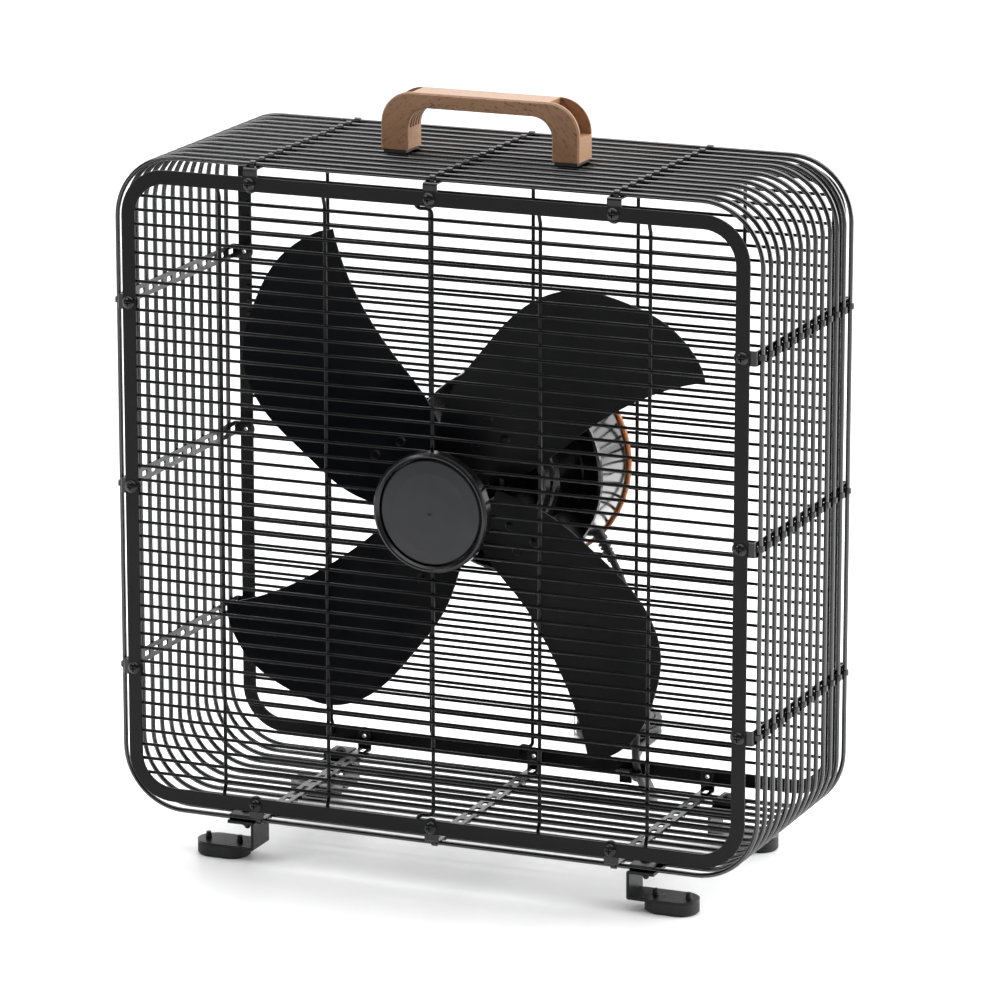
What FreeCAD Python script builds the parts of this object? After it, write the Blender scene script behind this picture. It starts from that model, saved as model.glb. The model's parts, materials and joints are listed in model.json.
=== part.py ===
"""A 20 inch box fan: a wire cage with a wooden carrying handle, a pod motor and four metal blades.

Millimetres. Every piece is drawn with x to the right, y back from the front face of the cage and
z up from the middle of its rings; save() then stands the fan on the floor, in the middle of its
own box.
"""

import FreeCAD, Part
import math
import os

V = FreeCAD.Vector
RIGHT, BACK, UP = V(1, 0, 0), V(0, 1, 0), V(0, 0, 1)

# Cage
cage_depth = 228.0  # from the front bars' outer face to the rear bars' outer face
ring_height = 317.0  # the middle of the rings above the floor
bar_width = 12.0
bar_thickness = 2.0
ring_half_width = 270.8  # to the middle of the bar
ring_half_height = 265.0
ring_corner = 34.0
loop_count = 13
loop_wire = 4.0
loop_pitch = 17.4
loop_half_width = 284.6
loop_half_height = 280.2
loop_corner = 53.0
grille_wire = 2.8
grille_pitch = 12.09
grille_count = 42
upright_wire = 3.2
upright_spacing = 95.0
fixing_spacing_x = 160.0
fixing_spacing_z = 13 * grille_pitch

# Tie strips, which hold the loops at their distance
strip_width = 12.5
strip_thickness = 1.2
tongue_width = 4.5
tongue_gap = 0.15  # round the loop's wire
hole_diameter = 4.4
screw_shank = 4.0
screw_head = 11.0
screw_head_height = 3.0
slot_length = 9.0  # of the slot each tongue is pressed from

# Fan
axis_z = 4.0
blade_thickness = 1.6
blade_count = 4
arm_angle = 60.0  # of the first blade's arm
arm_length = 84.0
hub_y = 56.0  # where a blade crosses its arm's middle
blade_pitch = 0.45  # depth gained per millimetre across a blade, near its root
blade_flat = 88.0  # a blade is flat out to here
blade_easing = 30.0  # then its pitch eases off over this length
blade_sweep = 0.11  # and it leans forward by this much per millimetre
blade_belly = 2.0
shaft_radius = 4.0
shaft_fit = 0.04
stator_gap = 0.3

# Pod
pod_front_y = 157.0
pod_back_y = 216.0
pod_front_radius = 88.8
pod_back_radius = 89.3
pod_wall = 1.5
cover_radius = 62.0
cover_thickness = 10.0
knob_radius = 17.0
knob_length = 16.0
knob_z = -2 * grille_pitch  # its shaft passes between two wires

# Badge
badge_radius = 50.5
badge_x = 3.5
badge_z = 6.0
badge_proud = 9.5

# Handle
handle_y = 105.3  # between two loops
handle_x = 6.0
handle_half_length = 88.0
handle_height = 48.5
handle_depth = 30.0
handle_channel = 20.0  # the channel in a leg ends this far above its foot
handle_bar = 12.6
handle_leg = 24.0
handle_outer = 27.0
handle_inner = 18.0
spacer_height = 3.0

# Feet
feet_x = 4.3  # the middle of each pair
foot_y = 20.0
foot_web_x = 168.4  # from the middle of its pair
foot_reach = 57.7  # from the web to the pad's outer end
foot_depth = 31.0
pad_length = 46.4
foot_plate = 2.5
pad_thickness = 10.0

# Cord
cord_diameter = 6.5
coil_x = -21.0
coil_y = 478.0
coil_radius = 33.0  # to the middle of its turns
coil_turns_wide = 2
coil_turns_high = 3

cover_sunk = 1.8  # into the rear bars
knob_gap = 0.6
knob_reach = cover_thickness - cover_sunk + knob_gap + knob_length
front_y = badge_proud - (badge_proud + cage_depth + knob_reach) / 2


def save(name, *solids):
    """Writes one node, moved from the cage's frame to the fan's own."""
    shape = Part.makeCompound(list(solids)) if len(solids) > 1 else solids[0].copy()
    shape.translate(V(0, front_y, ring_height))
    count = len(shape.Solids)
    if count != len(solids) or not all(s.isValid() and s.Volume > 0 for s in shape.Solids):
        print("CHECK", name, count, "solids of", len(solids))
    shape.exportStep("parts/%s.step" % name)


def box(x0, x1, y0, y1, z0, z1):
    return Part.makeBox(x1 - x0, y1 - y0, z1 - z0, V(x0, y0, z0))


def rod(start, direction, radius, length):
    return Part.makeCylinder(radius, length, start, direction)


def joined(first, *others):
    return first.multiFuse(list(others)).removeSplitter()


def less(shape, *tools):
    return shape.cut(Part.makeCompound(list(tools)))


def moved(shape, x=0.0, y=0.0, z=0.0):
    copy = shape.copy()
    copy.translate(V(x, y, z))
    return copy


def turned(shape, angle, centre=V(0, 0, 0), direction=BACK):
    copy = shape.copy()
    copy.rotate(centre, direction, angle)
    return copy


def outline(points):
    return Part.Face(Part.makePolygon([V(*p) for p in points + points[:1]]))


def revolved(profile, x=0.0, z=axis_z):
    """A solid turned about an axis along y, from (radius, y) points."""
    return moved(outline([(r, y, 0) for r, y in profile]).revolve(V(0, 0, 0), BACK, 360), x, 0, z)


def rounded_frame(half_x, half_z, corner, y):
    """A closed wire of four straight sides and four quarter turns, square to y."""
    edges = []
    for turn, (sx, sz) in enumerate(((1, 1), (-1, 1), (-1, -1), (1, -1))):
        centre = V(sx * (half_x - corner), y, sz * (half_z - corner))
        spots = []
        for part in (0.0, 0.5, 1.0):
            a = math.radians(90 * (turn + part))
            spots.append(centre + V(corner * math.cos(a), 0, corner * math.sin(a)))
        edges.append(Part.Arc(*spots).toShape())
    corners = list(edges)
    for one, other in zip(corners, corners[1:] + corners[:1]):
        edges.append(Part.LineSegment(one.Vertexes[-1].Point, other.Vertexes[0].Point).toShape())
    return Part.Wire(Part.__sortEdges__(edges))


def bent(points, bend=None):
    """A wire of straight runs joined by tangent arcs, and the arcs' radii.

    With no bend radius given, each arc is as large as its two runs allow.
    """
    edges, radii, start = [], [], points[0]
    for before, at, after in zip(points, points[1:], points[2:]):
        one, two = (before - at), (after - at)
        short = min(one.Length, two.Length)
        one.normalize()
        two.normalize()
        half_turn = (math.pi - one.getAngle(two)) / 2
        radius = bend if bend else 0.45 * short / math.tan(half_turn)
        reach = radius * math.tan(half_turn)
        enter, leave = at + one * reach, at + two * reach
        inward = (one + two).normalize()
        middle = at + inward * (radius / math.cos(half_turn) - radius)
        edges += [Part.LineSegment(start, enter).toShape(), Part.Arc(enter, middle, leave).toShape()]
        radii.append(radius)
        start = leave
    edges.append(Part.LineSegment(start, points[-1]).toShape())
    return Part.Wire(edges), radii


def piped(path, start, direction, radius):
    """A round bar along a wire."""
    section = Part.Wire(Part.makeCircle(radius, start, direction))
    return path.makePipeShell([section], True, False)


def round_bar(points, radius, bend=None):
    path, radii = bent(points, bend)
    return piped(path, points[0], points[1] - points[0], radius), path.Length, radii


def grille_z(k):
    """The height of the kth gap between grille wires, counted from the middle."""
    return k * grille_pitch


def pan_screw(length, head=screw_head, height=screw_head_height, shank=screw_shank):
    """A cross-recess pan head screw, its head up along z and its seat at z = 0."""
    edge = V(head / 2, 0, height * 0.3)
    top = V(0, 0, height)
    crown = Part.Arc(edge, V(head * 0.36, 0, height * 0.85), top).toShape()
    rest = Part.makePolygon(
        [top, V(0, 0, -length), V(shank * 0.3, 0, -length), V(shank / 2, 0, -length + 1.0),
         V(shank / 2, 0, 0), V(head / 2, 0, 0), edge]
    )
    body = Part.Face(Part.Wire([crown] + rest.Edges)).revolve(V(0, 0, 0), UP, 360)
    slot, arm = 0.5, head * 0.24
    cross = joined(
        box(-arm, arm, -slot, slot, height - 1.7, height + 1),
        box(-slot, slot, -arm, arm, height - 1.7, height + 1),
    )
    return body.cut(cross)


def hollow_rivet(grip):
    """An eyelet closed on sheets of that total thickness, which lie from z = 0 down."""
    bore, shank, head, roll = 1.75, hole_diameter / 2 - 0.1, 3.5, 0.6
    return outline([
        (bore, 0, roll), (head - 0.3, 0, roll), (head, 0, 0.3), (head, 0, 0), (shank, 0, 0),
        (shank, 0, -grip), (head, 0, -grip), (head, 0, -grip - 0.3), (head - 0.3, 0, -grip - roll),
        (bore, 0, -grip - roll),
    ]).revolve(V(0, 0, 0), UP, 360)


def aimed(shape, at, direction):
    """A piece drawn along z, put at a place with its z along a direction."""
    copy = shape.copy()
    copy.Placement = FreeCAD.Placement(at, FreeCAD.Rotation(UP, direction))
    return copy


def fixings():
    """The twelve places where the tie strips meet a ring: (x, z)."""
    places = []
    for step in (-1, 0, 1):
        for side in (1, -1):
            places.append((step * fixing_spacing_x, side * ring_half_height))
            places.append((side * ring_half_width, step * fixing_spacing_z))
    return places


# ---------------------------------------------------------------- rings and grilles


def mirrored(shape):
    """The same piece at the other end of the cage."""
    return shape.mirror(V(0, cage_depth / 2, 0), BACK)


def ring():
    """A flat bar bent into a rounded frame, with its edges eased and twelve holes."""
    half = bar_width / 2
    outer = rounded_frame(ring_half_width + half, ring_half_height + half, ring_corner + half, 0)
    inner = rounded_frame(ring_half_width - half, ring_half_height - half, ring_corner - half, 0)
    frame = Part.Face(outer).extrude(BACK * bar_thickness).cut(Part.Face(inner).extrude(BACK * bar_thickness))
    eased = [e for e in frame.Edges if abs(e.CenterOfMass.y) < 1e-6]
    frame = frame.makeFillet(0.6, eased)
    holes = [rod(V(x, -1, z), BACK, hole_diameter / 2, bar_thickness + 2) for x, z in fixings()]
    return less(frame, *holes)


def grille_wires():
    """The level wires, welded behind the bars; those beside a tie strip's tab stop short of it."""
    y = bar_thickness + grille_wire / 2
    full = ring_half_width - 1.8
    beside_tab = ring_half_width - bar_width / 2 + 0.3
    wires = []
    for k in range(grille_count):
        z = (k - (grille_count - 1) / 2) * grille_pitch
        near = min(abs(z - step * fixing_spacing_z) for step in (-1, 0, 1))
        reach = beside_tab if near < grille_pitch * 0.6 else full
        wires.append(rod(V(-reach, y, z), RIGHT, grille_wire / 2, 2 * reach))
    return wires


def upright(x, low, high, step_aside=0.0):
    """An upright wire behind the level ones, joggled forward onto the bars at its open ends.

    low and high are where it ends; an end at a bar is joggled, and steps aside from the tab there.
    """
    y = bar_thickness + grille_wire + upright_wire / 2
    on_bar = bar_thickness + upright_wire / 2
    last_wire = (grille_count - 1) / 2 * grille_pitch

    def end(height):
        if abs(height) < last_wire:
            return [V(x, y, height)]
        side = 1 if height > 0 else -1
        if step_aside:
            level = side * (last_wire + 8.4)
            return [V(x, y, level), V(x - step_aside, on_bar, level), V(x - step_aside, on_bar, height)]
        return [V(x, y, side * (last_wire + 3.6)), V(x, on_bar, side * (last_wire + 10.0)),
                V(x, on_bar, height)]

    points = list(reversed(end(low))) + end(high)
    return round_bar(points, upright_wire / 2, 5.0)[0]


def uprights(reach_in=0.0):
    """Five uprights; reach_in leaves the middle one out of a round cover of that radius."""
    top = ring_half_height + 1.0
    found = []
    for step in (-2, -1, 1, 2):
        found.append(upright(step * upright_spacing, -top, top))
    if reach_in:
        found.append(upright(0, axis_z + reach_in, top, 13.3))
        found.append(upright(0, -top, axis_z - reach_in, 13.3))
    else:
        found.append(upright(0, -top, top, 13.3))
    return found


def make_grilles():
    front_ring, front_wires = ring(), grille_wires()
    save("front_ring", front_ring)
    save("front_wires", *front_wires)
    save("front_uprights", *uprights())
    save("rear_ring", mirrored(front_ring))
    save("rear_wires", *[mirrored(w) for w in front_wires])
    save("rear_uprights", *[mirrored(u) for u in uprights(cover_radius + 2.5)])
    length = bar_thickness + strip_thickness + 3.5
    screw = pan_screw(length)
    save("front_screws", *[aimed(screw, V(x, 0, z), -BACK) for x, z in fixings()])
    rivet = hollow_rivet(bar_thickness + strip_thickness)
    save("rear_rivets", *[mirrored(aimed(rivet, V(x, 0, z), -BACK)) for x, z in fixings()])


# ---------------------------------------------------------------- loops and tie strips


def loop_y(k):
    return cage_depth / 2 + (k - (loop_count - 1) / 2) * loop_pitch


def make_loops():
    path = rounded_frame(loop_half_width, loop_half_height, loop_corner, 0)
    edge = path.Edges[0]
    hoop = piped(path, edge.valueAt(edge.FirstParameter), edge.tangentAt(edge.FirstParameter),
                 loop_wire / 2)
    save("cage_loops", *[moved(hoop, y=loop_y(k)) for k in range(loop_count)])


def tie_strip(loop_at, bar_at):
    """A strip along y under the loops, z outward, with a tongue hooked over each loop and a tab at each end."""
    half, face = strip_width / 2, loop_at - loop_wire / 2
    under = face - strip_thickness
    y0, y1 = bar_thickness, cage_depth - bar_thickness
    tab_end = bar_at - 1.6
    outer = box(-half, half, y0, y1, tab_end - half, face)
    outer = outer.makeFillet(2.2, [e for e in outer.Edges if abs(e.CenterOfMass.z - face) < 1e-6
                                   and abs(e.CenterOfMass.x) < 1e-6])
    hollow = box(-half - 1, half + 1, y0 + strip_thickness, y1 - strip_thickness, 0, under)
    hollow = hollow.makeFillet(1.0, [e for e in hollow.Edges if abs(e.CenterOfMass.z - under) < 1e-6
                                     and abs(e.CenterOfMass.x) < 1e-6])
    rounding = joined(box(-half, half, y0, y1, tab_end, face), rod(V(0, y0, tab_end), BACK, half, y1 - y0))
    strip = outer.cut(hollow).common(rounding)
    grip = loop_wire / 2 + tongue_gap
    back = grip + strip_thickness
    tongues, windows = [], [rod(V(0, -1, bar_at), BACK, hole_diameter / 2, cage_depth + 2)]
    wide = tongue_width / 2
    for k in range(loop_count):
        y = loop_y(k)
        tongue = joined(
            box(-wide, wide, y - back, y + back, under, loop_at),
            rod(V(-wide, y, loop_at), RIGHT, back, tongue_width),
        )
        tongues.append(tongue)
        windows.append(box(-wide, wide, y - grip, y - grip + slot_length, under - 1, loop_at))
        windows.append(rod(V(-wide - 1, y, loop_at), RIGHT, grip, tongue_width + 2))
    return joined(strip, *tongues).cut(Part.makeCompound(windows)).removeSplitter()


def make_strips():
    level = tie_strip(loop_half_height, ring_half_height)
    side = turned(tie_strip(loop_half_width, ring_half_width), 90)
    places = (-1, 0, 1)
    save("tie_strips_top", *[moved(level, x=s * fixing_spacing_x) for s in places])
    save("tie_strips_bottom", *[moved(turned(level, 180), x=s * fixing_spacing_x) for s in places])
    save("tie_strips_right", *[moved(side, z=s * fixing_spacing_z) for s in places])
    save("tie_strips_left", *[moved(turned(side, 180), z=s * fixing_spacing_z) for s in places])


# ---------------------------------------------------------------- badge


def make_badge():
    """A plain round badge in front of the wires, clamped through them from behind."""
    seat = bar_thickness - 0.1
    edge, lip = badge_radius, 5.2
    rim = revolved([
        (0, seat), (edge, seat), (edge, -badge_proud + 2.6), (edge - 1.0, -badge_proud + 0.8),
        (edge - 2.6, -badge_proud), (edge - lip + 1.6, -badge_proud + 0.5),
        (edge - lip, -badge_proud + 2.6), (edge - lip, seat - 1.6), (0, seat - 1.6),
    ], badge_x, badge_z)
    spots = ((badge_x + 22.0, grille_z(2)), (badge_x - 22.0, grille_z(-1)))
    shank = 3.5
    rim = less(rim, *[rod(V(x, -20, z), BACK, shank / 2 + 0.1, 40) for x, z in spots])
    save("badge_rim", rim)
    disc = edge - lip - 1.1
    save("badge_disc", revolved([
        (0, seat - 1.6), (disc, seat - 1.6), (disc, -badge_proud + 4.2), (disc - 1.2, -badge_proud + 3.0),
        (disc * 0.75, -badge_proud + 2.2), (disc * 0.4, -badge_proud + 1.6), (0, -badge_proud + 1.4),
    ], badge_x, badge_z))
    behind = bar_thickness + grille_wire + upright_wire + 0.1
    clamp = revolved([(0, behind), (34, behind), (34, behind + 2), (0, behind + 2)], badge_x, badge_z)
    start = seat - 1.5
    studs = [rod(V(x, start, z), BACK, shank / 2, behind + 1 - start) for x, z in spots]
    heads = [rod(V(x, behind + 1, z), BACK, shank, 2.4) for x, z in spots]
    save("badge_clamp", joined(clamp, *studs, *heads))


# ---------------------------------------------------------------- handle


def make_handle():
    base = loop_half_height + loop_wire / 2 + spacer_height
    top, half = base + handle_height, handle_half_length
    deep = handle_depth / 2
    y0, y1 = handle_y - deep, handle_y + deep
    arch = box(-half, half, y0, y1, base, top)
    arch = arch.makeFillet(handle_outer, [e for e in arch.Edges if abs(e.CenterOfMass.z - top) < 1e-6
                                          and abs(abs(e.CenterOfMass.x) - half) < 1e-6])
    gap_top, gap_side = top - handle_bar, half - handle_leg
    gap = box(-gap_side, gap_side, y0 - 1, y1 + 1, base - 1, gap_top)
    gap = gap.makeFillet(handle_inner, [e for e in gap.Edges if abs(e.CenterOfMass.z - gap_top) < 1e-6
                                        and abs(abs(e.CenterOfMass.x) - gap_side) < 1e-6])
    arch = arch.cut(gap)
    rims = [e for e in arch.Edges if abs(abs(e.CenterOfMass.y - handle_y) - deep) < 1e-6
            and e.CenterOfMass.z > base + 0.1]
    arch = arch.makeChamfer(1.4, rims)
    cuts = []
    cheek, wall = 3.2, 10.5
    for side in (1, -1):
        centre = V(side * (half - handle_outer), y0 + cheek, top - handle_outer)
        width = handle_depth - 2 * cheek
        far, near = handle_outer + 3, handle_outer - wall
        bend = rod(centre, BACK, far, width).cut(rod(centre - BACK, BACK, near, width + 2))
        x0, x1 = sorted((centre.x, centre.x + side * far))
        cuts.append(bend.common(box(x0, x1, y0, y1, centre.z, centre.z + far)))
        x0, x1 = sorted((centre.x + side * near, centre.x + side * far))
        cuts.append(box(x0, x1, y0 + cheek, y1 - cheek, base + handle_channel, centre.z + 0.01))
        inner = V(side * (gap_side - handle_inner), 0, gap_top - handle_inner)
        for rib in (-1.5, -0.5, 0.5, 1.5):
            groove = rod(inner + BACK * (handle_y + rib * 5.4 - 1.4), BACK, handle_inner + 3.2, 2.8)
            x0, x1 = sorted((inner.x, inner.x + side * 40))
            cuts.append(groove.common(box(x0, x1, y0, y1, inner.z, top)))
    leg_x = half - handle_leg / 2
    pilot = [rod(V(s * leg_x, handle_y, base - 1), UP, screw_shank / 2, 6) for s in (1, -1)]
    save("handle_grip", moved(less(arch, *cuts, *pilot), x=handle_x))
    under = loop_half_height - loop_wire / 2
    spacers, plates, screws = [], [], []
    plate = 2.0
    screw = pan_screw(base + 4.5 - (under - plate), 9.0, 2.6)
    for side in (1, -1):
        x = handle_x + side * leg_x
        hole = rod(V(x, handle_y, 0), UP, hole_diameter / 2, 400)
        spacers.append(box(x - 10, x + 10, y0 + 1.5, y1 - 1.5, base - spacer_height, base).cut(hole))
        plates.append(box(x - 9, x + 9, y0, y1, under - plate, under).cut(hole))
        screws.append(aimed(screw, V(x, handle_y, under - plate), -UP))
    save("handle_spacers", *spacers)
    save("handle_clamp_plates", *plates)
    save("handle_screws", *screws)


# ---------------------------------------------------------------- feet


def foot():
    """The front right foot: bracket with its weld nut, pad, clamp plate and screw."""
    cage_under = -loop_half_height - loop_wire / 2
    sole = -ring_height
    plate_low, plate_high = sole + pad_thickness, sole + pad_thickness + foot_plate
    y0, y1 = foot_y - foot_depth / 2, foot_y + foot_depth / 2
    x0 = foot_web_x
    x1 = x0 + foot_plate
    pad_half = foot_depth / 2
    round_x = x0 + foot_reach - pad_half
    toe = joined(box(x0, round_x, y0, y1, plate_low, plate_high),
                 rod(V(round_x, foot_y, plate_low), UP, pad_half, foot_plate))
    web = box(x0, x1, y0, y1, plate_low, cage_under)
    flange = box(x0, x0 + 24, y0, y1, cage_under - foot_plate, cage_under)
    bracket = joined(toe, web, flange)
    outer = [e for e in bracket.Edges if abs(e.CenterOfMass.x - x0) < 1e-6 and e.Length > 30
             and abs(e.tangentAt(e.FirstParameter).y) > 0.9]
    bracket = bracket.makeFillet(2.0, outer)
    screw_x = x0 + 12.0
    peg_x, peg = (x0 + 20.0, x0 + 49.0), 2.0
    holes = [rod(V(x, foot_y, sole), UP, peg, 20) for x in peg_x]
    holes.append(rod(V(screw_x, foot_y - 1.7, cage_under - 10), UP, 2.6, 20))
    bracket = less(bracket, *holes)
    heel_x = round_x + 2 * pad_half - pad_length
    pad = joined(
        box(heel_x, round_x, y0, y1, sole, plate_low),
        rod(V(heel_x, foot_y, sole), UP, pad_half, pad_thickness),
        rod(V(round_x, foot_y, sole), UP, pad_half, pad_thickness),
    )
    rims = [e for e in pad.Edges if abs(e.CenterOfMass.z - sole) < 1e-6]
    pad = pad.makeChamfer(1.6, rims)
    for x in peg_x:
        pad = joined(pad, rod(V(x, foot_y, plate_low), UP, peg, 5.0),
                     Part.makeCone(peg + 0.8, peg, 5.0, V(x, foot_y, plate_high), UP))
    clamp_y = foot_y - 1.7
    clamp_under = -loop_half_height + loop_wire / 2
    clamp = box(x0 + 3, x0 + 22, clamp_y - 14, clamp_y + 14, clamp_under, clamp_under + 2)
    clamp = clamp.cut(rod(V(screw_x, clamp_y, clamp_under - 1), UP, 2.6, 4))
    reach = clamp_under + 2 - cage_under + foot_plate + 7
    screw = aimed(pan_screw(reach, 9.5, 2.8, 5.0), V(screw_x, clamp_y, clamp_under + 2), UP)
    nut_top = cage_under - foot_plate
    corners = [(screw_x + 4.6 * math.cos(math.radians(60 * i)), clamp_y + 4.6 * math.sin(math.radians(60 * i)),
                nut_top - 4) for i in range(6)]
    nut = outline(corners).extrude(UP * 4).cut(rod(V(screw_x, clamp_y, nut_top - 5), UP, 2.6, 6))
    return joined(bracket, nut), pad, clamp, screw


def make_feet():
    right = foot()
    corners = {}
    for place, across, back in (("front_right", 0, 0), ("front_left", 1, 0),
                                ("rear_right", 0, 1), ("rear_left", 1, 1)):
        pieces = [p.mirror(V(0, 0, 0), RIGHT) if across else p for p in right]
        corners[place] = [moved(mirrored(p) if back else p, x=feet_x) for p in pieces]
    for place, pieces in corners.items():
        save("foot_bracket_" + place, pieces[0])
        save("foot_pad_" + place, pieces[1])
    for at, name in ((2, "foot_clamp_plates"), (3, "foot_screws")):
        save(name, *[pieces[at] for pieces in corners.values()])


# ---------------------------------------------------------------- pod and motor

bolt_radius = 66.0
panel_y = pod_back_y + 0.3
panel_thickness = 2.5
cover_y = cage_depth - cover_sunk
cover_back = cover_y + cover_thickness
relief_y = 204.0
relief_at = V(67.6, relief_y, axis_z - 59.0)
relief_way = V(0.5, 0, -0.866)
relief_length = 26.0


def around(count, radius, first=45.0):
    """Places on a circle about the fan's axis: (x, z)."""
    spots = []
    for i in range(count):
        a = math.radians(first + i * 360 / count)
        spots.append((radius * math.cos(a), axis_z + radius * math.sin(a)))
    return spots


def cover_spots():
    """Where the cover's screws pass between the rear wires: (x, z)."""
    return [(s * 44.0, grille_z(k)) for s in (1, -1) for k in (3, -2)]


def make_pod():
    front, back, wall = pod_front_radius, pod_back_radius, pod_wall
    shell = revolved([
        (60.5, pod_front_y), (front - 3, pod_front_y), (front - 0.8, pod_front_y + 1), (front, pod_front_y + 3.4),
        (back, pod_back_y), (back - wall, pod_back_y), (front - wall, pod_front_y + 4),
        (front - 4, pod_front_y + wall), (60.5, pod_front_y + wall),
    ])
    holes = [rod(V(x, 150, z), BACK, 2.2, 12) for x, z in around(4, bolt_radius)]
    gland = rod(relief_at - relief_way * 14, relief_way, 5.2, 30)
    save("pod_shell", less(shell, gland, *holes))
    step = back - 3.0
    save("pod_trim_ring", revolved([
        (back + 0.15, pod_back_y - 1.5), (back + 1.6, pod_back_y - 1.5), (back + 2.4, pod_back_y - 0.7),
        (back + 2.4, panel_y + 2.2), (back + 1.4, panel_y + 3.2), (step, panel_y + 3.2), (step, panel_y - 0.2),
        (back + 0.15, panel_y - 0.2),
    ]))
    panel = revolved([(0, panel_y), (step - 0.1, panel_y), (step - 0.1, panel_y + panel_thickness),
                      (0, panel_y + panel_thickness)])
    passage = [rod(V(x, 200, z), BACK, hole_diameter / 2, 60) for x, z in cover_spots()]
    shaft_hole = rod(V(0, 200, knob_z), BACK, 3.0 + shaft_fit, 60)
    save("pod_back_panel", less(panel, shaft_hole, *passage))
    disc = revolved([
        (0, cover_y), (cover_radius - 1, cover_y), (cover_radius, cover_y + 1), (cover_radius, cover_back - 3),
        (cover_radius - 1, cover_back - 1), (cover_radius - 3, cover_back), (0, cover_back),
    ])
    sinks = [rod(V(x, cover_back - 3.4, z), BACK, 4.6, 6) for x, z in cover_spots()]
    save("rear_cover", less(disc, shaft_hole, *passage, *sinks))
    screw = pan_screw(cover_back - 3.4 - panel_y + 4, 8.4, 2.6)
    save("rear_cover_screws", *[aimed(screw, V(x, cover_back - 3.4, z), BACK) for x, z in cover_spots()])


def make_motor():
    split, flange = pod_front_y, 2.2
    front = revolved([
        (shaft_radius + 1.5, 113), (15, 113), (18, 115), (50, 115), (52, 117), (52, 124), (55, 126), (55, 138),
        (58, 140), (58, split - flange), (72, split - flange), (72, split - 0.05), (53, split - 0.05),
        (53, 142), (50, 140), (50, 128), (47, 126), (47, 119), (14, 119), (14, 126), (11.05, 126), (11.05, 117),
        (shaft_radius + 1.5, 117),
    ])
    bosses = []
    for x, z in around(4, bolt_radius):
        bosses.append(rod(V(x, split - 5, z), BACK, 4.6, 4.9))
    holes = [rod(V(x, 140, z), BACK, 1.9, 20) for x, z in around(4, bolt_radius)]
    save("motor_front_bell", less(joined(front, *bosses), *holes))
    rear_end = 197.0
    save("motor_rear_bell", revolved([
        (53, split), (60.2, split), (60.2, split + 4), (58, split + 6), (58, 182), (50, 190), (18, 192), (15, rear_end),
        (0, rear_end), (0, rear_end - 2.5), (11.05, rear_end - 2.5), (11.05, 186), (14, 186), (14, 188), (48, 186),
        (53, 181),
    ]))
    save("stator_core", revolved([(30.3, 136), (49.7, 136), (49.7, 142.2), (52.7, 142.2), (52.7, 174), (30.3, 174)]))
    windings = []
    for y0, y1 in ((129, 135.9), (174.1, 181)):
        windings.append(revolved([(33, y0 + 2), (35, y0), (44, y0), (46, y0 + 2), (46, y1), (33, y1)]))
    save("stator_windings", *windings)
    bearings = []
    for y in (117.1, 187.3):
        inner, outer = shaft_radius + shaft_fit, 11.0
        bearings.append(revolved([(inner, y), (outer - 0.3, y), (outer, y + 0.3), (outer, y + 6.7),
                                  (outer - 0.3, y + 7), (inner, y + 7)]))
    save("motor_bearings", *bearings)
    bolt = pan_screw(12, 7.6, 2.6, 3.8)
    save("motor_bolts", *[aimed(bolt, V(x, split - 5, z), -BACK) for x, z in around(4, bolt_radius)])
    can = box(64, 82, 168, 206, axis_z - 16, axis_z + 16)
    can = can.makeFillet(3, [e for e in can.Edges if abs(e.Length - 38) < 1e-6])
    save("capacitor", turned(can, 160, V(0, 0, axis_z)))
    back = panel_y - 0.02
    switch = joined(box(-14, 14, 198.5, back - 2, knob_z - 13, knob_z + 13),
                    rod(V(0, back - 2, knob_z), BACK, 8, 2))
    bore = rod(V(0, 203, knob_z), BACK, 3.0 + shaft_fit, 40)
    terminals = [box(x - 2.4, x + 2.4, 192, 198.5, knob_z - 9, knob_z - 8.2) for x in (-9, -3, 3, 9)]
    save("speed_switch", joined(switch.cut(bore), *terminals))
    save("switch_shaft", rod(V(0, 203.4, knob_z), BACK, 3.0, cover_back + 12 - 203.4))


def make_knob():
    """The speed knob: a round skirt with a raised grip bar, at its off position."""
    y0 = cover_back + knob_gap
    skirt = revolved([(0, y0), (knob_radius, y0), (knob_radius, y0 + 3), (knob_radius - 1.5, y0 + 5), (0, y0 + 5)],
                     0, knob_z)
    grip = box(-3.6, 3.6, y0 + 5, y0 + knob_length, knob_z - knob_radius + 1.5, knob_z + knob_radius - 1.5)
    grip = grip.makeFillet(2.0, [e for e in grip.Edges if e.CenterOfMass.y > y0 + knob_length - 1e-6
                                 or abs(e.Length - knob_length + 5) < 1e-6])
    drum = revolved([(0, y0 + 4), (10, y0 + 4), (9, y0 + 10), (0, y0 + 10)], 0, knob_z)
    mark = box(-0.6, 0.6, y0 + knob_length - 0.5, y0 + knob_length + 1, knob_z + 3, knob_z + knob_radius)
    bore = rod(V(0, y0 - 1, knob_z), BACK, 3.0, cover_back + 12 - y0 + 1)
    save("speed_knob", less(joined(skirt, grip, drum), bore, mark))


# ---------------------------------------------------------------- rotor


def eased(way, length):
    """Nothing before 0, then a slope that comes in smoothly over a length."""
    if way <= 0:
        return 0.0
    return way * way / (2 * length) if way < length else way - length / 2


def blade_y(radius, angle):
    """The depth of a blade's surface, for an angle in degrees round from its arm."""
    beyond = eased(radius - blade_flat, blade_easing)
    rise = blade_pitch * (radius - beyond) * math.sin(math.radians(angle))
    belly = blade_belly * min(beyond / 60.0, 1.0) * (1 - (angle / 36.0) ** 2)
    return hub_y - rise - blade_sweep * beyond - belly


def around_axis(radius, angle, y):
    a = math.radians(arm_angle + angle)
    return V(radius * math.cos(a), y, axis_z + radius * math.sin(a))


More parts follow.
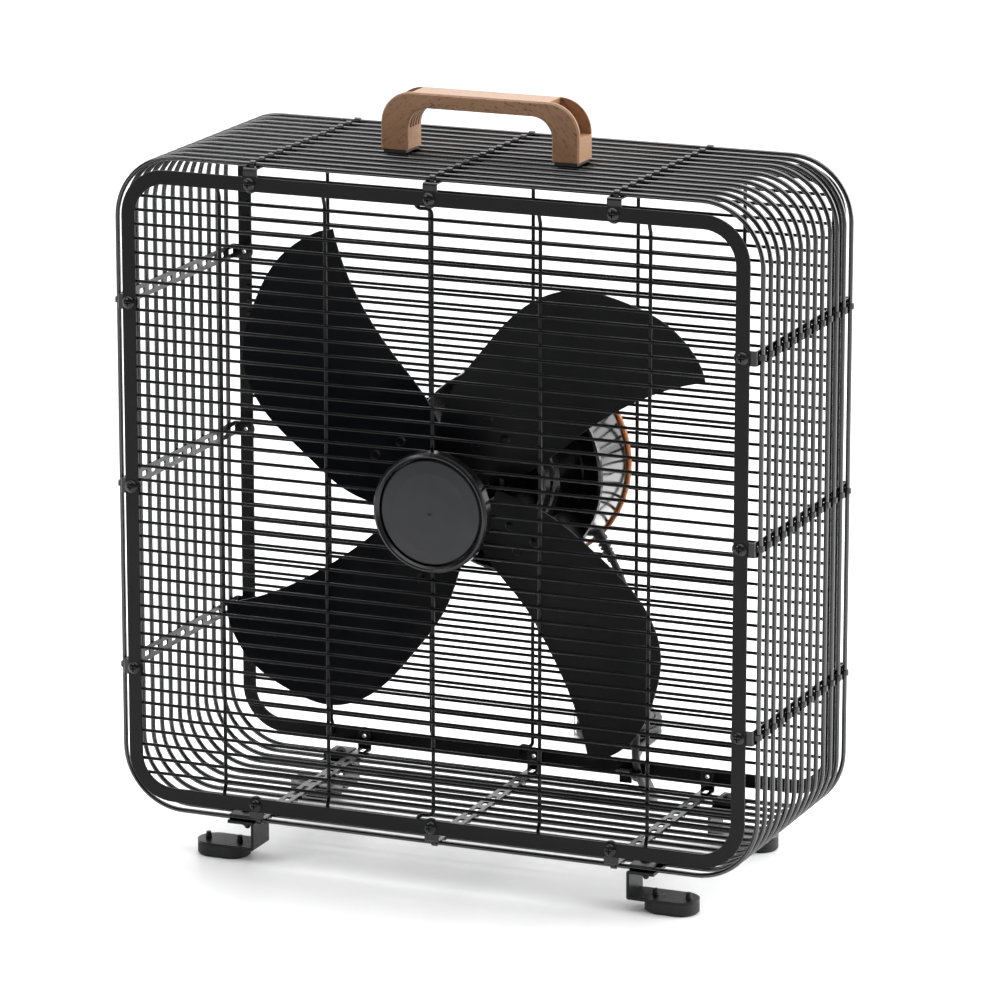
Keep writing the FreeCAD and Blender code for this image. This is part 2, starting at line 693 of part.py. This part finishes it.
def blade_outline():
    """The blade's edge, seen along the axis, as (radius, degrees from the arm) points."""
    leading = [(44, -40), (80, -35), (108, -31), (150, -29), (209, -30), (244, -32)]
    trailing = [(247.5, -29.5), (249, -26), (247, -19.5), (234, -10), (215.5, 0), (185, 8), (134, 17),
                (87, 30), (62, 38), (44, 48)]
    return leading, trailing


def blade():
    rows = []
    for radius in range(30, 271, 20):
        angles = [-44 + i * 10 for i in range(12)]
        rows.append([around_axis(radius, a, blade_y(radius, a)) for a in angles])
    surface = Part.BSplineSurface()
    surface.interpolate(rows)
    sheet = surface.toShape().extrude(BACK * blade_thickness)
    leading, trailing = blade_outline()
    far = -60.0
    first = [around_axis(r, a, far) for r, a in leading]
    second = [around_axis(r, a, far) for r, a in trailing]
    edge_one, edge_two = Part.BSplineCurve(), Part.BSplineCurve()
    edge_one.interpolate(first)
    edge_two.interpolate(second)
    tip = Part.LineSegment(first[-1], second[0]).toShape()
    root = Part.LineSegment(second[-1], first[0]).toShape()
    prism = Part.Face(Part.Wire([edge_one.toShape(), tip, edge_two.toShape(), root])).extrude(BACK * 300)
    found = sheet.common(prism)
    return found.Solids[0]


def rivet_spots():
    """Rivets on an arm, as (along, across) distances from the axis."""
    return ((77.0, 10.0), (52.0, 9.0), (66.0, -11.0))


def make_rotor():
    count, step = blade_count, 360.0 / blade_count
    centre = V(0, 0, axis_z)
    first = blade()
    radius = 2.4
    # An arm is drawn along x, square to the axis, then tilted to its blade's pitch.
    gap = blade_thickness + 0.01
    arm = box(8, arm_length, gap, gap + 2.4, -17, 17)
    arm = arm.makeFillet(10, [e for e in arm.Edges if abs(e.CenterOfMass.x - arm_length) < 1e-6
                              and abs(e.Length - 2.4) < 1e-6])
    holes = [rod(V(u, -20, v), BACK, radius, 60) for u, v in rivet_spots()]
    arm = less(arm, *holes)
    rivets = []
    for u, v in rivet_spots():
        rivets.append(joined(
            rod(V(u, -1.2, v), BACK, radius, gap + 2.4 + 2.2),
            Part.makeCone(2.6, 4.4, 1.4, V(u, -1.45, v), BACK),
            Part.makeCone(4.4, 2.6, 1.4, V(u, gap + 2.4 + 0.02, v), BACK),
        ))

    def onto_blade(shape):
        tilted = turned(shape, math.degrees(math.atan(blade_pitch)), V(0, 0, 0), RIGHT)
        tilted.translate(V(0, hub_y, axis_z))
        return turned(tilted, -arm_angle, centre)

    arm = onto_blade(arm)
    rivets = [onto_blade(r) for r in rivets]
    drills = [onto_blade(rod(V(u, -20, v), BACK, radius, 60)) for u, v in rivet_spots()]
    first = less(first, *drills)
    nose, neck, tail = hub_y - 13, hub_y + 19, hub_y + 33
    boss = revolved([(shaft_radius, nose), (17, nose), (19, nose + 2), (19, neck), (14, neck + 2), (14, tail),
                     (shaft_radius, tail)])
    bore = rod(V(0, 0, axis_z), BACK, 18, 200)
    arms = [turned(arm, i * step, centre).cut(bore) for i in range(count)]
    save("blade_spider", joined(boss, *arms))
    for i in range(count):
        save("blade_%d" % (i + 1), turned(first, i * step, centre))
    save("blade_rivets", *[turned(r, i * step, centre) for i in range(count) for r in rivets])
    tip = nose - 3
    save("motor_shaft", revolved([(0, tip), (3.5, tip), (4, tip + 0.5), (4, 193.5), (3.5, 194), (0, 194)]))
    save("rotor_core", revolved([(shaft_radius, 137), (29.2, 137), (30, 138), (30, 172), (29.2, 173),
                                 (shaft_radius, 173)]))


# ---------------------------------------------------------------- cord

relief_end = relief_at + relief_way * relief_length
floor_z = -ring_height + cord_diameter / 2
# Down behind the blades, out between the last loop and the rear bar, and back along the floor.
lead_route = [
    relief_end,
    relief_end + relief_way * 26,
    V(104, 204, -148),
    V(105, 204.5, -202),
    V(100, 203.5, -258.9),
    V(96, 269.6, floor_z),
    V(66, 334, floor_z),
    V(28, 392, floor_z),
    V(15, 436, floor_z),
    V(15.25, 472, floor_z),
]
tail_angle = math.radians(45)
tail_length = 46.0  # far enough for the plug to lie clear of the coil
tie_angle = 200.0
plug_half_height = 9.0
plug_length = 36.0


def tail_ends():
    top_layer = floor_z + (coil_turns_high - 1) * cord_diameter
    start = V(coil_x + coil_radius * math.cos(tail_angle), coil_y + coil_radius * math.sin(tail_angle), top_layer)
    way = V(-math.sin(tail_angle), math.cos(tail_angle), 0)
    end = start + way * tail_length
    end.z = -ring_height + plug_half_height
    return start, end, way


def make_cord():
    radius = cord_diameter / 2
    gland = joined(rod(relief_at - relief_way * 9, relief_way, 5.0, 13),
                   Part.makeCone(5.6, 4.0, relief_length - 4, relief_at + relief_way * 4, relief_way))
    rings = []
    for i in range(5):
        spot = relief_at + relief_way * (7.0 + i * 3.6)
        rings.append(rod(spot, relief_way, 9, 1.2).cut(rod(spot - relief_way, relief_way, 3.7, 4)))
    save("strain_relief", less(gland, *rings))
    lead, length, radii = round_bar(lead_route, radius)
    start, end, way = tail_ends()
    straight = end - start
    tail = rod(start, straight, radius, straight.Length)
    save("power_cord", lead, tail)
    print("lead", round(length, 1), "radii", [round(r) for r in radii],
          "volume over section times length", round(lead.Volume / (math.pi * radius ** 2 * length), 4))
    half = coil_turns_wide * radius
    high = coil_turns_high * cord_diameter
    low = -ring_height
    coil = Part.makeCylinder(coil_radius + half, high, V(coil_x, coil_y, low)).cut(
        Part.makeCylinder(coil_radius - half, high + 2, V(coil_x, coil_y, low - 1)))
    save("cord_coil", coil)
    wide, wall, slack = 4.0, 0.6, 0.5
    inside, outside = coil_radius - half - slack - wall, coil_radius + half + slack + wall
    band = box(inside, outside, -wide, wide, low, low + high + slack + wall).cut(
        box(inside + wall, outside - wall, -wide - 1, wide + 1, low - 1, low + high + slack))
    save("cord_tie", moved(turned(band, tie_angle, V(0, 0, 0), UP), coil_x, coil_y))
    plug = joined(
        box(8, plug_length, -13, 13, -plug_half_height, plug_half_height),
        Part.makeCone(4.6, 8.2, 14, V(0, 0, 0), RIGHT),
    )
    plug = plug.makeFillet(3.5, [e for e in plug.Edges if abs(e.Length - plug_length + 8) < 1e-6])
    pins = [box(plug_length, plug_length + 17, side * 6.4 - 0.8, side * 6.4 + 0.8, -3.2, 3.2) for side in (1, -1)]
    heading = math.degrees(math.atan2(way.y, way.x))

    def laid(shape):
        return moved(turned(shape, heading, V(0, 0, 0), UP), end.x, end.y, end.z)

    save("plug_body", laid(plug))
    save("plug_pins", *[laid(p) for p in pins])
    save("cord_clip", cord_clip())


def cord_clip():
    """A steel strap round the cord, hooked on the front face of the rear bar's bottom."""
    high, low = lead_route[4], lead_route[5]
    down = (low - high).normalize()
    at = high + down * 12
    band, snug = 1.6, cord_diameter / 2 + 0.3
    ring = rod(at - down * 4, down, snug + band, 8)
    bar_face = cage_depth - bar_thickness
    bar_low = -ring_half_height - bar_width / 2
    far, near = at.x - 20, at.x - 9
    strap = box(far, near, at.y - 4, bar_face, at.z - 0.8, at.z + 0.8)
    plate = box(far, near, bar_face - band, bar_face, bar_low - 8, bar_low + 9)
    bridge = box(far, at.x, at.y - 4, at.y + 4, at.z - 0.8, at.z + 0.8)
    passage = round_bar(lead_route[3:7], snug)[0]
    return joined(ring, strap, plate, bridge).cut(passage)


def main():
    os.makedirs("parts", exist_ok=True)
    make_grilles()
    make_loops()
    make_strips()
    make_badge()
    make_handle()
    make_feet()
    make_pod()
    make_motor()
    make_knob()
    make_rotor()
    make_cord()


main()
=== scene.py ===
"""The box fan's looks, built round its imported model. Metres, in the model's own frame."""

import json
import math

import bpy
from mathutils import Euler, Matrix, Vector


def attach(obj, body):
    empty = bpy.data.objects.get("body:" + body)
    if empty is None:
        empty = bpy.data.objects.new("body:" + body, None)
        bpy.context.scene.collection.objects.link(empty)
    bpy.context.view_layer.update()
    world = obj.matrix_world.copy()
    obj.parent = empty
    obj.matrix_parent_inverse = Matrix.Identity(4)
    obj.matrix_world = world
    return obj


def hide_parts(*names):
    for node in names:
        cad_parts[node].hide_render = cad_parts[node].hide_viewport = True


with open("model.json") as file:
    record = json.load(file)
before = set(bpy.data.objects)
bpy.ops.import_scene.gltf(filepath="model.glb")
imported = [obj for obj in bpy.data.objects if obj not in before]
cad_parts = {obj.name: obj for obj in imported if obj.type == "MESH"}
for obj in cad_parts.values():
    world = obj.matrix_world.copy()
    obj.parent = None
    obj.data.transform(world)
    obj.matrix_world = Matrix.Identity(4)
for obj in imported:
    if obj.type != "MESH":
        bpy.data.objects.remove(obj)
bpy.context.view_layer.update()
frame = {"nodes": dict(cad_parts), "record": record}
nodes = frame["nodes"]

# ---------------------------------------------------------------- camera

view_azimuth = math.radians(22.747)
view_elevation = math.radians(14.174)
view_distance = 4.9534
view_centre = Vector((0.0115, 0.0, 0.3048))
focal_length, sensor_width = 213.4, 36.0  # millimetres, as on a lens

camera = bpy.data.objects.new("camera", bpy.data.cameras.new("camera"))
bpy.context.collection.objects.link(camera)
camera.data.lens = focal_length
camera.data.sensor_width = sensor_width
camera.data.clip_end = 100.0
camera.rotation_euler = Euler((math.pi / 2 - view_elevation, 0.0, view_azimuth))
view_back = Vector((0, 0, view_distance))
camera.location = view_centre + camera.rotation_euler.to_matrix() @ view_back
bpy.context.scene.camera = camera

# ---------------------------------------------------------------- cord

cage = Vector((0.0, -0.12165, 0.317))  # the middle of the front ring
cord_diameter = 0.0065
floor_z = cord_diameter / 2 - cage.z  # the height of a cord lying on the floor
coil_centre = Vector((-0.021, 0.478, floor_z))
coil_radius = 0.033
coil_turns = 6
points_per_turn = 16
climb_start = 0.66  # the part of a turn after which the cord moves to its next place
tail_angle = math.radians(45)
tail_length = 0.046
plug_rise = 0.009

# From the gland down to the clip on the rear bar, under it, and along the floor to the coil.
route = [
    (0.0806, 0.204, -0.077516),
    (0.0936, 0.204, -0.100032),
    (0.104, 0.204, -0.148),
    (0.105, 0.2045, -0.202),
    (0.100, 0.2035, -0.2589),
    (0.096, 0.2696, floor_z),
    (0.066, 0.334, floor_z),
    (0.028, 0.392, floor_z),
    (0.015, 0.436, floor_z),
    (0.01525, 0.472, floor_z),
]
# Each turn's place in the coil, in cord diameters out from its middle and up from the floor.
lay_order = ((0.5, 0), (-0.5, 0), (-0.5, 1), (0.5, 1), (-0.5, 2), (0.5, 2))
# Points of the tail: the share of its length, and of its drop to the plug that is still to come.
tail_points = ((0.15, 1.0), (0.42, 1.0), (0.64, 0.6), (0.84, 0.0), (1.0, 0.0))


def coil_point(turns):
    """A point on the wound cord after this many turns."""
    whole = min(int(turns), coil_turns - 1)
    out, up = lay_order[whole]
    part = turns - whole
    if part > climb_start and whole + 1 < coil_turns:
        share = (part - climb_start) / (1 - climb_start)
        share *= share * (3 - 2 * share)
        next_out, next_up = lay_order[whole + 1]
        out += (next_out - out) * share
        up += (next_up - up) * share
    angle = 2 * math.pi * turns
    radius = coil_radius + out * cord_diameter
    across = Vector((radius * math.cos(angle), radius * math.sin(angle), 0))
    return coil_centre + across + Vector((0, 0, up * cord_diameter))


def cord_points():
    """The whole cord: the route, the coil's turns, and the tail down off the coil to the plug."""
    points = [Vector(p) for p in route]
    count = round((coil_turns + tail_angle / (2 * math.pi)) * points_per_turn)
    for i in range(1, count):
        points.append(coil_point(i / points_per_turn))
    out = Vector((math.cos(tail_angle), math.sin(tail_angle), 0))
    along = Vector((-out.y, out.x, 0))
    top, low = 2 * cord_diameter, plug_rise - cord_diameter / 2
    for share, left in tail_points:
        height = Vector((0, 0, low + (top - low) * left))
        points.append(coil_centre + coil_radius * out + along * tail_length * share + height)
    return [cage + p for p in points]


def nurbs(name, points, radius):
    """A round tube along one open NURBS spline that starts and ends on its end points."""
    data = bpy.data.curves.new(name, "CURVE")
    data.dimensions = "3D"
    data.bevel_depth = radius
    data.bevel_resolution = 5
    data.resolution_u = 10
    data.use_fill_caps = True
    spline = data.splines.new("NURBS")
    spline.points.add(len(points) - 1)
    for spot, point in zip(spline.points, points):
        spot.co = (*point, 1.0)
    spline.order_u = 3
    spline.use_endpoint_u = True
    piece = bpy.data.objects.new(name, data)
    bpy.context.collection.objects.link(piece)
    return piece


cord = nurbs("mains_cord", cord_points(), cord_diameter / 2)
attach(cord, "cage")
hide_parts("power_cord", "cord_coil")

# ---------------------------------------------------------------- materials


class Look:
    """A material under construction: its nodes are added one by one and wired by name."""

    def __init__(self, name):
        self.material = bpy.data.materials.new(name)
        self.material.use_nodes = True
        self.tree = self.material.node_tree
        self.shader = self.tree.nodes["Principled BSDF"]
        self.place = self.add("ShaderNodeTexCoord").outputs["Object"]

    def add(self, kind, sockets=None, **settings):
        node = self.tree.nodes.new(kind)
        for key, value in settings.items():
            setattr(node, key, value)
        for key, value in (sockets or {}).items():
            self.feed(node.inputs[key], value)
        return node

    def feed(self, socket, value):
        """Wires another node's output to a socket, or gives the socket a plain value."""
        if isinstance(value, bpy.types.NodeSocket):
            self.tree.links.new(value, socket)
        else:
            socket.default_value = value

    def set(self, **values):
        """Feeds the shader: Base_Color is its socket "Base Color", and so on."""
        for key, value in values.items():
            self.feed(self.shader.inputs[key.replace("_", " ")], value)

    def stretched(self, scale, place=None):
        sockets = {"Vector": place or self.place, "Scale": scale}
        return self.add("ShaderNodeMapping", sockets).outputs["Vector"]

    def noise(self, scale, detail=3.0, rough=0.5, place=None):
        """Noise of about this many lumps a metre."""
        sockets = {"Scale": scale, "Detail": detail, "Roughness": rough}
        sockets["Vector"] = place or self.place
        return self.add("ShaderNodeTexNoise", sockets).outputs["Fac"]

    def ramp(self, factor, *stops):
        """A grey for each factor, from stops of (position, grey)."""
        node = self.add("ShaderNodeValToRGB", {"Fac": factor})
        for element, (position, grey) in zip(node.color_ramp.elements, stops):
            element.position = position
            element.color = (grey, grey, grey, 1)
        return node.outputs["Color"]

    def mix(self, factor, one, two):
        """One colour at factor 0 and two at factor 1, each a triple or a socket."""
        node = self.add("ShaderNodeMix", data_type="RGBA")
        colours = [s for s in node.inputs if s.type == "RGBA"]
        self.feed(node.inputs[0], factor)
        for socket, value in zip(colours, (one, two)):
            self.feed(socket, (*value, 1) if isinstance(value, tuple) else value)
        return next(s for s in node.outputs if s.type == "RGBA")

    def math(self, kind, one, two):
        node = self.add("ShaderNodeMath", operation=kind)
        self.feed(node.inputs[0], one)
        self.feed(node.inputs[1], two)
        return node.outputs[0]

    def times(self, one, two):
        return self.math("MULTIPLY", one, two)

    def bump(self, height, strength, distance, under=None):
        sockets = {"Height": height, "Strength": strength, "Distance": distance}
        node = self.add("ShaderNodeBump", sockets)
        if under is not None:
            self.feed(node.inputs["Normal"], under)
        return node.outputs["Normal"]


def painted(name, tones, roughness, specular=0.5, grain=1500.0, depth=0.00004, coat=0.0):
    """Baked paint on steel: a fine orange peel, faint cloudiness and a little settled dust."""
    dark, light = tones
    look = Look(name)
    cloud = look.noise(9.0, 4.0)
    fleck = look.noise(grain * 1.6, 2.0)
    tone = look.mix(look.ramp(cloud, (0.35, 0.0), (0.7, 1.0)), dark, light)
    tone = look.mix(look.times(fleck, 0.35), tone, light)
    peel = look.noise(grain, 2.0, 0.6)
    swell = look.noise(grain / 6, 2.0)
    low, high = roughness - 0.06, roughness + 0.08
    look.set(
        Base_Color=tone,
        Roughness=look.ramp(look.noise(38.0, 5.0), (0.3, low), (0.75, high)),
        Specular_IOR_Level=specular,
        Normal=look.bump(peel, 0.35, depth, look.bump(swell, 0.25, depth * 3)),
    )
    if coat:
        look.set(Coat_Weight=coat, Coat_Roughness=0.12)
    return look.material


def metal(name, colour, roughness, grain):
    """Bare metal with fine tool marks along one way."""
    look = Look(name)
    marks = look.noise(1.0, 3.0, 0.7, look.stretched(grain))
    worn = tuple(c * 0.8 for c in colour)
    look.set(
        Base_Color=look.mix(look.ramp(marks, (0.3, 0.0), (0.7, 1.0)), worn, colour),
        Metallic=1.0,
        Roughness=look.ramp(marks, (0.25, roughness - 0.08), (0.75, roughness + 0.12)),
        Normal=look.bump(marks, 0.3, 0.00003),
    )
    return look.material


def moulded(name, tones, roughness, grain=900.0, depth=0.00006):
    """Moulded plastic or rubber with a fine spark texture."""
    look = Look(name)
    spark = look.noise(grain, 4.0, 0.65)
    low, high = roughness - 0.05, roughness + 0.07
    look.set(
        Base_Color=look.mix(look.noise(30.0, 4.0), *tones),
        Roughness=look.ramp(look.noise(60.0, 3.0), (0.3, low), (0.7, high)),
        Specular_IOR_Level=0.4,
        Normal=look.bump(spark, 0.45, depth),
    )
    return look.material


def timber(name, pale, deep, pore, middle=0.0, arch=0.0):
    """Open-pored hardwood under a thin satin lacquer, its grain along x.

    The grain bows over the middle, by arch times the square of the distance from it.
    """
    look = Look(name)
    parts = look.add("ShaderNodeSeparateXYZ", {"Vector": look.place}).outputs
    across = look.math("SUBTRACT", parts["X"], middle)
    bow = look.times(look.times(across, across), arch)
    bowed = look.math("ADD", parts["Z"], bow)
    sockets = {"X": across, "Y": parts["Y"], "Z": bowed}
    laid = look.add("ShaderNodeCombineXYZ", sockets).outputs["Vector"]
    drift = look.noise(14.0, 2.0, place=laid)
    figure = look.noise(1.0, 5.0, 0.6, look.stretched((18.0, 190.0, 190.0), laid))
    tone = look.mix(look.ramp(figure, (0.3, 0.0), (0.72, 1.0)), deep, pale)
    tone = look.mix(look.times(drift, 0.35), tone, pale)
    pores = look.noise(1.0, 2.0, 0.5, look.stretched((230.0, 820.0, 820.0), laid))
    shown = look.ramp(pores, (0.60, 0.0), (0.66, 1.0))
    tone = look.mix(look.times(shown, 0.8), tone, pore)
    relief = look.math("SUBTRACT", figure, look.times(shown, 1.5))
    look.set(
        Base_Color=tone,
        Roughness=look.ramp(figure, (0.3, 0.36), (0.7, 0.52)),
        Coat_Weight=0.12,
        Coat_Roughness=0.3,
        Normal=look.bump(relief, 0.35, 0.0001),
    )
    return look.material


# Two tones of each finish, the darker first, in linear red, green and blue.
frame_tones = (0.0030, 0.0030, 0.0035), (0.0055, 0.0055, 0.0062)
wire_tones = (0.0010, 0.0010, 0.0013), (0.0024, 0.0024, 0.0030)
screw_tones = (0.0010, 0.0010, 0.0013), (0.010, 0.010, 0.011)
blade_tones = (0.0016, 0.0018, 0.0025), (0.0026, 0.0029, 0.0040)
badge_tones = (0.013, 0.0135, 0.015), (0.018, 0.0185, 0.021)
rim_tones = (0.0050, 0.0050, 0.0055), (0.0080, 0.0080, 0.0085)
plastic_tones = (0.008, 0.008, 0.008), (0.014, 0.014, 0.014)
pad_tones = (0.008, 0.008, 0.009), (0.016, 0.016, 0.017)
sheath_tones = (0.009, 0.009, 0.010), (0.015, 0.015, 0.016)
tie_tones = (0.012, 0.012, 0.012), (0.020, 0.020, 0.020)
# Three tones of each wood: pale, deep and in its pores.
handle_tones = (0.30, 0.155, 0.072), (0.20, 0.098, 0.042), (0.055, 0.022, 0.009)
trim_tones = (0.62, 0.20, 0.045), (0.48, 0.145, 0.030), (0.16, 0.05, 0.014)

looks = {
    "black_frame": painted("frame_paint", frame_tones, 0.32, 0.20),
    "black_wire": painted("wire_paint", wire_tones, 0.18, 0.17, depth=0.00001),
    "black_strip": painted("strip_paint", wire_tones, 0.24, 0.6, depth=0.00002),
    "black_screw": painted("screw_finish", screw_tones, 0.24, 0.4, grain=2600.0),
    "clamp_plate": painted("clamp_paint", wire_tones, 0.36, 0.3),
    "foot_bracket": painted("bracket_paint", wire_tones, 0.30, 0.3),
    "panel": painted("panel_paint", wire_tones, 0.40, 0.3),
    "clip": painted("clip_paint", wire_tones, 0.34, 0.3),
    "spider": painted("spider_paint", wire_tones, 0.36, 0.08),
    "rivet": painted("rivet_paint", wire_tones, 0.36, 0.12),
    "blade_black": painted("blade_paint", blade_tones, 0.36, 0.11, 900.0),
    "pod_black": painted("pod_paint", wire_tones, 0.14, 0.5, 900.0, 0.00002, coat=0.6),
    "badge_face": painted("badge_paint", badge_tones, 0.36, 0.4, 2200.0),
    "badge_rim": moulded("rim_gloss", rim_tones, 0.22, 600.0, 0.00002),
    "black_plastic": moulded("black_plastic", plastic_tones, 0.44),
    "foot_rubber": moulded("pad_rubber", pad_tones, 0.60, 700.0, 0.0001),
    "cord_rubber": moulded("cord_sheath", sheath_tones, 0.5, 1400.0),
    "tie": moulded("tie_plastic", tie_tones, 0.55),
    "handle_wood": timber("handle_timber", *handle_tones, middle=0.006, arch=6.0),
    "trim_wood": timber("trim_timber", *trim_tones),
    "steel": metal("machined_steel", (0.56, 0.56, 0.55), 0.3, (900.0, 60.0, 900.0)),
    "can": metal("capacitor_can", (0.72, 0.72, 0.72), 0.32, (40.0, 900.0, 900.0)),
    "copper": metal("winding_copper", (0.55, 0.20, 0.08), 0.35, (120.0, 900.0, 120.0)),
    "brass_pin": metal("pin_brass", (0.80, 0.62, 0.30), 0.24, (500.0, 500.0, 500.0)),
}
loop_paint = painted("loop_paint", wire_tones, 0.12, 0.9, depth=0.00001)

for part in frame["record"]["subparts"]:
    for slot in nodes[part["node"]].material_slots:
        slot.material = looks[part["material_slot"]]
# The cage's loops share the wires' slot, and catch the light more than the wires do.
for slot in nodes["cage_loops"].material_slots:
    slot.material = loop_paint
cord.data.materials.append(looks["cord_rubber"])

# ---------------------------------------------------------------- floor and light


def stage_floor(reach=16.0):
    """A wide pale floor with a very faint tone to it, reaching this far each way."""
    corners = [(-reach, -reach, 0), (reach, -reach, 0), (reach, reach, 0), (-reach, reach, 0)]
    mesh = bpy.data.meshes.new("floor")
    mesh.from_pydata(corners, [], [(0, 1, 2, 3)])
    floor = bpy.data.objects.new("floor", mesh)
    bpy.context.collection.objects.link(floor)
    look = Look("floor_card")
    look.set(
        Base_Color=look.mix(look.noise(2.0, 3.0), (0.93, 0.93, 0.935), (0.96, 0.96, 0.96)),
        Roughness=0.34,
        Specular_IOR_Level=0.4,
        Normal=look.bump(look.noise(260.0, 3.0), 0.05, 0.0001),
    )
    mesh.materials.append(look.material)


def soft_box(name, place, aim, width, height, watts):
    """A rectangular lamp at place, turned to face aim."""
    light = bpy.data.lights.new(name, "AREA")
    light.shape = "RECTANGLE"
    light.size, light.size_y = width, height
    light.energy = watts
    lamp = bpy.data.objects.new(name, light)
    bpy.context.collection.objects.link(lamp)
    lamp.location = place
    way = Vector(aim) - Vector(place)
    lamp.rotation_euler = way.to_track_quat("-Z", "Y").to_euler()


def studio_world(dim, bright, strength):
    """A bright backdrop behind the fan and a dim room on the camera's side.

    dim and bright are each a place from front, 0, to back, 1, and the colour there.
    """
    world = bpy.data.worlds.new("studio")
    bpy.context.scene.world = world
    world.use_nodes = True
    tree = world.node_tree
    back = tree.nodes["Background"]
    place = tree.nodes.new("ShaderNodeTexCoord")
    split = tree.nodes.new("ShaderNodeSeparateXYZ")
    ramp = tree.nodes.new("ShaderNodeValToRGB")
    tree.links.new(place.outputs["Generated"], split.inputs[0])
    depth = tree.nodes.new("ShaderNodeMath")  # -1 to 1 along y becomes 0 to 1
    depth.operation = "MULTIPLY_ADD"
    depth.inputs[1].default_value = 0.5
    depth.inputs[2].default_value = 0.5
    tree.links.new(split.outputs["Y"], depth.inputs[0])
    tree.links.new(depth.outputs[0], ramp.inputs["Fac"])
    tree.links.new(ramp.outputs["Color"], back.inputs["Color"])
    for element, (position, colour) in zip(ramp.color_ramp.elements, (dim, bright)):
        element.position = position
        element.color = (*colour, 1)
    back.inputs["Strength"].default_value = strength


stage_floor()
studio_world(dim=(0.34, (0.05, 0.05, 0.054)), bright=(0.74, (1.0, 1.0, 1.0)), strength=1.9)
soft_box("top_box", (0.2, 0.3, 3.0), (0, 0, 0.3), width=4.6, height=3.4, watts=125.0)
soft_box("right_box", (2.2, 1.2, 1.3), (0, 0, 0.35), width=2.4, height=2.0, watts=80.0)
soft_box("left_box", (-1.7, -1.6, 2.0), (0, 0, 0.3), width=0.9, height=0.7, watts=16.0)
bpy.context.scene.view_settings.view_transform = "Standard"
